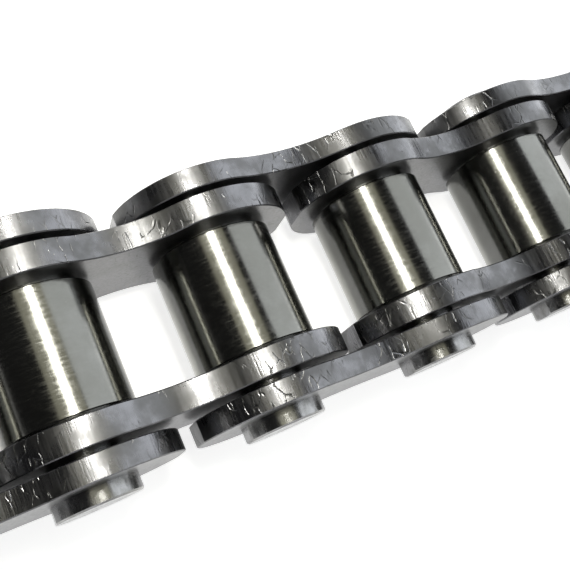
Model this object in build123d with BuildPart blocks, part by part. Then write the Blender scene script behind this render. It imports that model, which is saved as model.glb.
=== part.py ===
from build123d import *
import os
from math import sqrt

# A strand of heavy roller chain, 38.1 mm pitch (ISO 606 size 24B), seven pitches long.
# Frame: +X along the chain, +Y along the pins, +Z up. The origin is the middle of the strand,
# on the line of the pin axes. Stations are the pin axes, numbered from the -X end.
# Inner links carry the rollers; outer links carry the pins. Both ends are inner links.

# Driving dimensions, mm
pitch = 38.1  # from one pin axis to the next
inner_link_count = 4  # outer links join them, so there is one fewer of those

inner_width = 26.4  # between the inner plates, where the sprocket tooth goes
pin_diameter = 14.63
bush_wall = 3.06
roller_wall = 2.25  # brings the roller to its standard 25.4 mm outside diameter

inner_plate_thickness = 5.25
outer_plate_thickness = 4.45
plate_height = 33.4
lobe_radius = 17.85  # of the round above and below each eye
link_end_gap = 3.7  # left between the flat ends of neighbouring plates in one row
inner_waist_depth = 5.0  # how far the waist dips below the lobes, top and bottom
outer_waist_depth = 3.85
plate_edge_break = 0.2

head_overhang = 1.1  # how much wider than the pin its spread head is, in radius
head_height = 3.2
head_chamfer = 0.35
head_flat_depth = 0.42  # two flats, cut into the head's rim

roller_edge_break = 0.2

# Named clearances, mm
pin_clearance = 0.025  # in radius, pin in bush
roller_clearance = 0.05  # in radius, roller on bush
roller_end_play = 1.0  # at each end of a roller
link_side_play = 1.2  # between an inner plate and the outer plate beside it

# Sizes that follow
pin_radius = pin_diameter / 2
bush_bore_radius = pin_radius + pin_clearance
bush_radius = bush_bore_radius + bush_wall
roller_bore_radius = bush_radius + roller_clearance
roller_radius = roller_bore_radius + roller_wall
roller_length = inner_width - 2 * roller_end_play
lobe_centre = plate_height / 2 - lobe_radius  # height of the upper lobes' centres, below the eyes
end_reach = (pitch - link_end_gap) / 2  # from an eye's centre to the plate's flat end
end_flat = lobe_centre + sqrt(lobe_radius**2 - end_reach**2)  # half the height of that flat
head_radius = pin_radius + head_overhang

# Distances from the chain's middle plane to the plate faces
inner_plate_start = inner_width / 2
inner_plate_end = inner_plate_start + inner_plate_thickness
outer_plate_start = inner_plate_end + link_side_play
outer_plate_end = outer_plate_start + outer_plate_thickness
bush_length = 2 * inner_plate_end

station_count = 2 * inner_link_count
stations = [
    (number - (station_count - 1) / 2) * pitch for number in range(station_count)
]


def across(x, y):
    """Plane square to the pins at x along the chain, y across it: it faces -Y, its own up is +Z."""
    return Plane(origin=(x, y, 0), x_dir=(1, 0, 0), z_dir=(0, -1, 0))


def link_plate(back_face, thickness, waist_depth, bore_radius):
    """A waisted plate on its back face's plane: lobes round two eyes, a waist arc tangent to both
    lobes above and below, and a flat where the blank was cropped at each end."""
    eye = pitch / 2
    top = plate_height / 2
    waist = top - waist_depth
    rise = waist - lobe_centre
    waist_radius = (eye**2 + rise**2 - lobe_radius**2) / (2 * (lobe_radius - rise))
    share = lobe_radius / (lobe_radius + waist_radius)
    joint_x = eye * (1 - share)
    joint_z = lobe_centre + (waist + waist_radius - lobe_centre) * share
    end = eye + end_reach
    with BuildPart() as plate:
        with BuildSketch(back_face):
            with BuildLine():
                ThreePointArc((-joint_x, joint_z), (0, waist), (joint_x, joint_z))
                ThreePointArc((joint_x, joint_z), (eye, top), (end, end_flat))
                Line((end, end_flat), (end, -end_flat))
                ThreePointArc((end, -end_flat), (eye, -top), (joint_x, -joint_z))
                ThreePointArc((joint_x, -joint_z), (0, -waist), (-joint_x, -joint_z))
                ThreePointArc((-joint_x, -joint_z), (-eye, -top), (-end, -end_flat))
                Line((-end, -end_flat), (-end, end_flat))
                ThreePointArc((-end, end_flat), (-eye, top), (-joint_x, joint_z))
            make_face()
        extrude(amount=thickness)
        chamfer(plate.faces().filter_by(Axis.Y).edges(), length=plate_edge_break)
        with BuildSketch(back_face):
            with Locations((-eye, 0), (eye, 0)):
                Circle(bore_radius)
        extrude(amount=thickness, mode=Mode.SUBTRACT)
    return plate


def write(piece, name):
    piece.part.label = name
    export_step(piece.part, f"parts/{name}.step")


os.makedirs("parts", exist_ok=True)

# Inner links: two plates pressed on two bushes
for link in range(inner_link_count):
    link_middle = (stations[2 * link] + stations[2 * link + 1]) / 2
    for side, back_face_y in (("front", -inner_plate_start), ("back", inner_plate_end)):
        inner_plate = link_plate(
            across(link_middle, back_face_y), inner_plate_thickness, inner_waist_depth, bush_radius
        )
        write(inner_plate, f"inner_plate_{side}_{link + 1}")

for station, x in enumerate(stations, start=1):
    with BuildPart() as bush:
        with BuildSketch(across(x, bush_length / 2)):
            Circle(bush_radius)
            Circle(bush_bore_radius, mode=Mode.SUBTRACT)
        extrude(amount=bush_length)
    write(bush, f"bush_{station}")

# Rollers: plain rings that turn on the bushes, with both rims broken
for station, x in enumerate(stations, start=1):
    with BuildPart() as roller:
        with BuildSketch(across(x, roller_length / 2)):
            Circle(roller_radius)
        extrude(amount=roller_length)
        chamfer(roller.faces().filter_by(Axis.Y).edges(), length=roller_edge_break)
        with BuildSketch(across(x, roller_length / 2)):
            Circle(roller_bore_radius)
        extrude(amount=roller_length, mode=Mode.SUBTRACT)
    write(roller, f"roller_{station}")

# Outer links: two plates held by two pins, outside the inner links that they join
for link in range(inner_link_count - 1):
    link_middle = (stations[2 * link + 1] + stations[2 * link + 2]) / 2
    for side, back_face_y in (("front", -outer_plate_start), ("back", outer_plate_end)):
        outer_plate = link_plate(
            across(link_middle, back_face_y), outer_plate_thickness, outer_waist_depth, pin_radius
        )
        write(outer_plate, f"outer_plate_{side}_{link + 1}")

# Pins: a shaft through both outer plates, with a spread and chamfered head on each, flat fore and aft
for station, x in list(enumerate(stations, start=1))[1:-1]:
    with BuildPart() as pin:
        with BuildSketch(across(x, outer_plate_end)):
            Circle(pin_radius)
        extrude(amount=2 * outer_plate_end)
        head_planes = (
            across(x, -outer_plate_end),
            across(x, outer_plate_end + head_height),
        )
        with BuildSketch(*head_planes):
            Circle(head_radius)
        extrude(amount=head_height)
        end_faces = pin.faces().filter_by(Axis.Y).sort_by(Axis.Y)
        chamfer(end_faces[0].edges() + end_faces[-1].edges(), length=head_chamfer)
        with BuildSketch(*head_planes):
            with Locations((-head_radius, 0), (head_radius, 0)):
                Rectangle(2 * head_flat_depth, 2 * head_radius)
        extrude(amount=head_height, mode=Mode.SUBTRACT)
    write(pin, f"pin_{station}")
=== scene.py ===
import bpy
import math
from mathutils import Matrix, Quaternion, Vector


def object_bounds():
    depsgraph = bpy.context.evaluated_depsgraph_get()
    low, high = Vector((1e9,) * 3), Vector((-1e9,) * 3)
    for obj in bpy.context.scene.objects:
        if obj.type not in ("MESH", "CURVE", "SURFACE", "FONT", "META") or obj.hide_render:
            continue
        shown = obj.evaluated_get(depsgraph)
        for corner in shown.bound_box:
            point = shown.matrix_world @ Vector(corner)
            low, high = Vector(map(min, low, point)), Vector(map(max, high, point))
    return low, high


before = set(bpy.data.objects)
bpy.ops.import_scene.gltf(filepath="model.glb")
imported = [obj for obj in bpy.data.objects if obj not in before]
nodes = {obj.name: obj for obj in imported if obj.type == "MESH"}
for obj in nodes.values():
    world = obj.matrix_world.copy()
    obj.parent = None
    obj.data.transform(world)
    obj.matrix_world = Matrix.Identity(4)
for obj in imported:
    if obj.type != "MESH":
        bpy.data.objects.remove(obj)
cad_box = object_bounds()

# Link plates: blanked from strip steel, hardened and blued, then tumbled. The punch leaves
# sheared edges with fine lines across the thickness, and rubbing on guides polishes the lobes.
# Inner plates are pressed on the bushes, outer plates on the pins.
PLATE_DARK = (0.105, 0.105, 0.106)
PLATE_PALE = (0.190, 0.190, 0.200)
PLATE_SHINE = 0.29
PLATE_RUBBED = 0.18
RUBBED_FROM, RUBBED_TO = 0.42, 0.62
SHEAR_LINES = (1500.0, 70.0, 1500.0)
SHEAR_DEPTH = 0.25
SHEAR_ROUGHNESS = 0.12
SCRATCH_DARKENING = 0.7
PIT_ROUGHNESS = 0.3
SCRATCH_LIFT = 0.00006
FACE_CLOUD = 0.3  # how much of the edges' cloudiness the flat faces have


def new_material(name):
    material = bpy.data.materials.new(name)
    material.use_nodes = True
    return material, material.node_tree, material.node_tree.nodes["Principled BSDF"]


def set_inputs(tree, node, values):
    for key, value in values.items():
        numbered = key[0] == "i" and key[1:].isdigit()
        socket = node.inputs[int(key[1:]) if numbered else key.replace("_", " ")]
        if isinstance(value, bpy.types.NodeSocket):
            tree.links.new(value, socket)
        else:
            socket.default_value = value


def add(tree, kind, settings=None, **values):
    node = tree.nodes.new("ShaderNode" + kind)
    for key, value in (settings or {}).items():
        setattr(node, key, value)
    set_inputs(tree, node, values)
    return node


def noise(tree, place, scale, detail=4.0, roughness=0.55):
    made = add(tree, "TexNoise", Vector=place, Scale=scale, Detail=detail, Roughness=roughness)
    return made.outputs["Fac"]


def spread(tree, value, low, high, out_low=0.0, out_high=1.0):
    return add(tree, "MapRange", {"interpolation_type": "SMOOTHSTEP"}, Value=value, From_Min=low,
               From_Max=high, To_Min=out_low, To_Max=out_high).outputs[0]


def maths(tree, operation, *values):
    inputs = {"i%d" % number: value for number, value in enumerate(values)}
    return add(tree, "Math", {"operation": operation}, **inputs).outputs[0]


def stretched(tree, place, factors):
    return add(tree, "VectorMath", {"operation": "MULTIPLY"}, i0=place, i1=factors).outputs[0]


def new_group(name, ins, outs):
    tree = bpy.data.node_groups.new(name, "ShaderNodeTree")
    for label, kind, value in ins:
        socket = tree.interface.new_socket(label, in_out="INPUT", socket_type="NodeSocket" + kind)
        if value is not None:
            socket.default_value = value
    for label in outs:
        tree.interface.new_socket(label, in_out="OUTPUT", socket_type="NodeSocketFloat")
    return tree, tree.nodes.new("NodeGroupInput").outputs, tree.nodes.new("NodeGroupOutput").inputs


def use_group(tree, group, **values):
    node = tree.nodes.new("ShaderNodeGroup")
    node.node_tree = group
    set_inputs(tree, node, values)
    return node.outputs


def dress(piece_names, material):
    for name in piece_names:
        mesh = nodes[name].data
        mesh.materials.clear()
        mesh.materials.append(material)


def names_that_start(*starts):
    return sorted(name for name in nodes if name.startswith(starts))


# Handling wear, on every steel surface: cloudy patches from the furnace and oil, small pits and
# nicks, and hairline scratches in clusters. "Streak" is the direction of the finishing marks.
wear, given, result = new_group(
    "steel wear",
    [("Place", "Vector", None), ("Streak", "Vector", (1.0, 1.0, 1.0)),
     ("Cloud Size", "Float", 90.0), ("Scratch Size", "Float", 260.0)],
    ["Cloud", "Streaks", "Scratches", "Pits"])
place = given["Place"]
cloud = noise(wear, place, given["Cloud Size"], 5.0, 0.6)
streaks = noise(wear, stretched(wear, place, given["Streak"]), 1.0, 3.0, 0.7)
bend = add(wear, "TexNoise", Vector=place, Scale=170.0, Detail=2.0).outputs["Color"]
bend = add(wear, "VectorMath", {"operation": "SCALE"}, i0=bend, Scale=0.003).outputs[0]
bent = add(wear, "VectorMath", {"operation": "ADD"}, i0=place, i1=bend).outputs[0]
bent = stretched(wear, bent, (1.0, 0.45, 1.0))
cells = add(wear, "TexVoronoi", {"feature": "DISTANCE_TO_EDGE"}, Vector=bent,
            Scale=given["Scratch Size"]).outputs["Distance"]
line = spread(wear, cells, 0.0, 0.05, 1.0, 0.0)
broken = spread(wear, noise(wear, place, 420.0, 2.0), 0.42, 0.54)
cluster = spread(wear, noise(wear, place, 95.0, 1.0), 0.44, 0.58)
scratches = maths(wear, "MULTIPLY", maths(wear, "MULTIPLY", line, broken), cluster)
dots = add(wear, "TexVoronoi", {"feature": "F1"}, Vector=place, Scale=700.0)
small = spread(wear, dots.outputs["Distance"], 0.06, 0.16, 1.0, 0.0)
chosen = spread(wear, add(wear, "SeparateColor", Color=dots.outputs["Color"]).outputs[0], 0.965, 0.975)
pits = maths(wear, "MULTIPLY", small, chosen)
for label, value in (("Cloud", cloud), ("Streaks", streaks), ("Scratches", scratches), ("Pits", pits)):
    wear.links.new(value, result[label])


def colour_between(tree, mask, dark, pale):
    mix = add(tree, "Mix", {"data_type": "RGBA"})
    tree.links.new(mask, mix.inputs[0])
    mix.inputs[6].default_value = (*dark, 1)
    mix.inputs[7].default_value = (*pale, 1)
    return mix.outputs[2]


def bumped(tree, skin, height, distance):
    bump = add(tree, "Bump", Height=height, Distance=distance)
    tree.links.new(bump.outputs["Normal"], skin.inputs["Normal"])


def plate_finish(name):
    material, tree, skin = new_material(name)
    place = add(tree, "TexCoord").outputs["Object"]
    marks = use_group(tree, wear, Place=place, Streak=SHEAR_LINES, Cloud_Size=130.0, Scratch_Size=430.0)
    across = add(tree, "SeparateXYZ", Vector=add(tree, "NewGeometry").outputs["True Normal"]).outputs[1]
    rim = spread(tree, maths(tree, "ABSOLUTE", across), 0.5, 0.9, 1.0, 0.0)
    shear = maths(tree, "MULTIPLY", rim, spread(tree, marks["Cloud"], RUBBED_FROM, RUBBED_TO))
    calm = maths(tree, "ADD", maths(tree, "MULTIPLY", rim, 1.0 - FACE_CLOUD), FACE_CLOUD)
    mask = maths(tree, "SUBTRACT", spread(tree, marks["Cloud"], 0.36, 0.66), 0.5)
    mask = maths(tree, "ADD", maths(tree, "MULTIPLY", mask, calm), 0.5)
    mask = maths(tree, "SUBTRACT", mask, maths(tree, "MULTIPLY", marks["Scratches"], SCRATCH_DARKENING))
    tree.links.new(colour_between(tree, mask, PLATE_DARK, PLATE_PALE), skin.inputs["Base Color"])
    skin.inputs["Metallic"].default_value = 1.0
    rough = maths(tree, "ADD", maths(tree, "MULTIPLY", shear, PLATE_RUBBED - PLATE_SHINE), PLATE_SHINE)
    fine = maths(tree, "MULTIPLY", spread(tree, marks["Streaks"], 0.35, 0.75), SHEAR_ROUGHNESS)
    dull = maths(tree, "MULTIPLY", marks["Pits"], PIT_ROUGHNESS)
    rough = maths(tree, "ADD", maths(tree, "ADD", rough, fine), dull)
    tree.links.new(rough, skin.inputs["Roughness"])
    lines = spread(tree, marks["Streaks"], 0.3, 0.7)
    lines = maths(tree, "MULTIPLY", lines, maths(tree, "MULTIPLY", shear, SHEAR_DEPTH))
    height = maths(tree, "SUBTRACT", lines, maths(tree, "MULTIPLY", marks["Scratches"], rim))
    height = maths(tree, "SUBTRACT", height, marks["Pits"])
    bumped(tree, skin, height, SCRATCH_LIFT)
    return material


dress(names_that_start("inner_plate"), plate_finish("blued inner plate steel"))
dress(names_that_start("outer_plate"), plate_finish("blued outer plate steel"))

# Rollers: solid rings turned from bar, hardened, ground round and oiled to an olive-black
# brightness. Each runs loose on its bush. Grinding marks run round them, and the sprocket's
# teeth leave specks and short drawn scuffs along them.
PITCH = 0.0381
ROLLER_RADIUS = 0.0127
ROLLER_DARK = (0.150, 0.150, 0.138)
ROLLER_PALE = (0.195, 0.196, 0.185)
ROLLER_SHINE = 0.15
GRINDING = (420.0, 2600.0, 1.0)
GRINDING_DEPTH = 0.28
GRINDING_LIFT = 0.00002
ROLLER_SHIFT = 0.37  # sets each roller's grinding marks apart from the next one's

roller_steel, tree, skin = new_material("ground roller steel")
place = add(tree, "TexCoord").outputs["Object"]
parts = add(tree, "SeparateXYZ", Vector=place).outputs
middle = maths(tree, "WRAP", maths(tree, "SUBTRACT", parts[0], PITCH / 2), PITCH / 2, -PITCH / 2)
turn = maths(tree, "ARCTAN2", middle, parts[2])
around = maths(tree, "MULTIPLY", turn, ROLLER_RADIUS)
step = maths(tree, "ROUND", maths(tree, "DIVIDE", parts[0], PITCH / 2))
shift = maths(tree, "MULTIPLY", step, ROLLER_SHIFT)
wrapped = add(tree, "CombineXYZ", X=maths(tree, "ADD", around, shift), Y=parts[1]).outputs[0]
marks = use_group(tree, wear, Place=place, Streak=(150.0, 1300.0, 150.0), Cloud_Size=60.0, Scratch_Size=620.0)
hairs = noise(tree, stretched(tree, wrapped, GRINDING), 1.0, 2.0, 0.6)
skin.inputs["Metallic"].default_value = 1.0
mask = spread(tree, marks["Cloud"], 0.35, 0.7)
tree.links.new(colour_between(tree, mask, ROLLER_DARK, ROLLER_PALE), skin.inputs["Base Color"])
rough = spread(tree, hairs, 0.3, 0.75, ROLLER_SHINE - 0.03, ROLLER_SHINE + 0.09)
rough = maths(tree, "ADD", rough, maths(tree, "MULTIPLY", marks["Scratches"], 0.05))
tree.links.new(rough, skin.inputs["Roughness"])
height = maths(tree, "MULTIPLY", hairs, GRINDING_DEPTH)
height = maths(tree, "ADD", height, maths(tree, "MULTIPLY", marks["Pits"], -0.8))
height = maths(tree, "SUBTRACT", height, maths(tree, "MULTIPLY", marks["Scratches"], 0.06))
bumped(tree, skin, height, GRINDING_LIFT)
dress(names_that_start("roller"), roller_steel)

# Bushes: turned, case-hardened tubes, pressed into the inner plates. Only their ends and bores
# show, at the two open ends of the strand; they keep their dark furnace colour.
BUSH_DARK = (0.09, 0.09, 0.085)
BUSH_PALE = (0.24, 0.24, 0.23)
TURNING_LIFT = 0.000012

bush_steel, tree, skin = new_material("hardened bush steel")
place = add(tree, "TexCoord").outputs["Object"]
marks = use_group(tree, wear, Place=place, Streak=(300.0, 900.0, 300.0), Cloud_Size=160.0, Scratch_Size=300.0)
skin.inputs["Metallic"].default_value = 1.0
mask = spread(tree, marks["Cloud"], 0.35, 0.65)
tree.links.new(colour_between(tree, mask, BUSH_DARK, BUSH_PALE), skin.inputs["Base Color"])
tree.links.new(spread(tree, marks["Streaks"], 0.3, 0.7, 0.22, 0.42), skin.inputs["Roughness"])
bumped(tree, skin, marks["Streaks"], TURNING_LIFT)
dress(names_that_start("bush"), bush_steel)

# Pins: ground and hardened, riveted over the outer plates. The spread heads are pressed bright,
# smooth on the rim and the two flats, and slightly dimpled on the end face.
PIN_DARK = (0.21, 0.21, 0.205)
PIN_PALE = (0.30, 0.30, 0.305)
DIMPLE_LIFT = 0.00003

pin_steel, tree, skin = new_material("riveted pin steel")
place = add(tree, "TexCoord").outputs["Object"]
marks = use_group(tree, wear, Place=place, Streak=(600.0, 200.0, 600.0), Cloud_Size=260.0, Scratch_Size=480.0)
skin.inputs["Metallic"].default_value = 1.0
mask = spread(tree, marks["Cloud"], 0.35, 0.65)
tree.links.new(colour_between(tree, mask, PIN_DARK, PIN_PALE), skin.inputs["Base Color"])
rough = spread(tree, marks["Streaks"], 0.3, 0.7, 0.14, 0.30)
rough = maths(tree, "ADD", rough, maths(tree, "MULTIPLY", marks["Scratches"], 0.2))
tree.links.new(rough, skin.inputs["Roughness"])
height = maths(tree, "SUBTRACT", maths(tree, "MULTIPLY", marks["Cloud"], 0.8), marks["Pits"])
bumped(tree, skin, height, DIMPLE_LIFT)
dress(names_that_start("pin"), pin_steel)

# Studio: a pale floor that the chain lies on, a small bright lamp close over it, a large cool
# panel on its right, and weak pale light from the other sides.
FLOOR_GLOW = 0.76
WORLD_GREY = 0.035
HORIZON_GLOW = 0.9  # a pale band that ends a little above the horizon

bpy.ops.mesh.primitive_plane_add(size=24, location=(0, 0, cad_box[0].z))
floor = bpy.context.object
floor.name = "floor"
floor_paint, tree, skin = new_material("pale floor")
tree.nodes.remove(skin)
path = add(tree, "LightPath").outputs
seen = maths(tree, "MAXIMUM", path["Is Camera Ray"], path["Is Glossy Ray"])
seen = maths(tree, "MAXIMUM", seen, path["Is Transmission Ray"])
matt = add(tree, "BsdfDiffuse", Color=(0.8, 0.8, 0.79, 1))
shine = add(tree, "Emission", Color=(1, 1, 1, 1), Strength=maths(tree, "MULTIPLY", seen, FLOOR_GLOW))
both = add(tree, "AddShader", i0=matt.outputs[0], i1=shine.outputs[0])
tree.links.new(both.outputs[0], tree.nodes["Material Output"].inputs["Surface"])
floor.data.materials.append(floor_paint)

world = bpy.data.worlds.new("studio")
bpy.context.scene.world = world
world.use_nodes = True
tree = world.node_tree
rise = add(tree, "SeparateXYZ", Vector=add(tree, "TexCoord").outputs["Generated"]).outputs[2]
band = spread(tree, rise, 0.12, 0.20, HORIZON_GLOW, WORLD_GREY)
tree.links.new(band, tree.nodes["Background"].inputs["Strength"])
tree.nodes["Background"].inputs["Color"].default_value = (1, 1, 1, 1)


def lamp(name, place, aim, size, radiance, tint=(1, 1, 1)):
    light = bpy.data.lights.new(name, "AREA")
    light.shape = "RECTANGLE"
    light.size, light.size_y = size
    light.energy = radiance * math.pi * size[0] * size[1]
    light.color = tint
    lamp_object = bpy.data.objects.new(name, light)
    lamp_object.location = place
    facing = Vector(aim) - Vector(place)
    lamp_object.rotation_mode = "QUATERNION"
    lamp_object.rotation_quaternion = facing.to_track_quat("-Z", "Y")
    lamp_object.visible_camera = False
    bpy.context.scene.collection.objects.link(lamp_object)


lamp("key", (-0.0405, 0.033, 0.146), (-0.0405, 0.033, 0), (0.024, 0.085), 30, (1, 0.985, 0.92))
lamp("key halo", (-0.042, 0.033, 0.147), (-0.042, 0.033, 0), (0.12, 0.15), 0.85, (1, 0.97, 0.76))
lamp("right panel", (1.04, 0.25, 0.60), (0, 0, 0), (2.0, 1.5), 1.9, (0.94, 0.975, 1))
lamp("front fill", (0, -1.2, 0.45), (0, 0, 0), (1.6, 0.7), 0.6)
lamp("back fill", (0, 1.4, 0.5), (0, 0, 0), (1.6, 0.7), 0.4)

# Camera: it looks down from close above the strand's left half, a little from the front,
# and is rolled so that the chain climbs to the right.
CAMERA_PLACE = Vector((-0.072061, -0.034102, 0.149689))
VIEW_CENTRE = Vector((-0.006913, 0.000018, 0))
CAMERA_ROLL = math.radians(40.650)
camera_data = bpy.data.cameras.new("camera")
camera_data.sensor_width = 36
camera_data.lens = 50.311
camera_data.clip_start = 0.01
camera = bpy.data.objects.new("camera", camera_data)
bpy.context.scene.collection.objects.link(camera)
camera.location = CAMERA_PLACE
camera.rotation_mode = "QUATERNION"
level = (VIEW_CENTRE - CAMERA_PLACE).to_track_quat("-Z", "Y")
camera.rotation_quaternion = level @ Quaternion((0, 0, 1), CAMERA_ROLL)
bpy.context.scene.camera = camera
bpy.context.scene.view_settings.view_transform = "Standard"
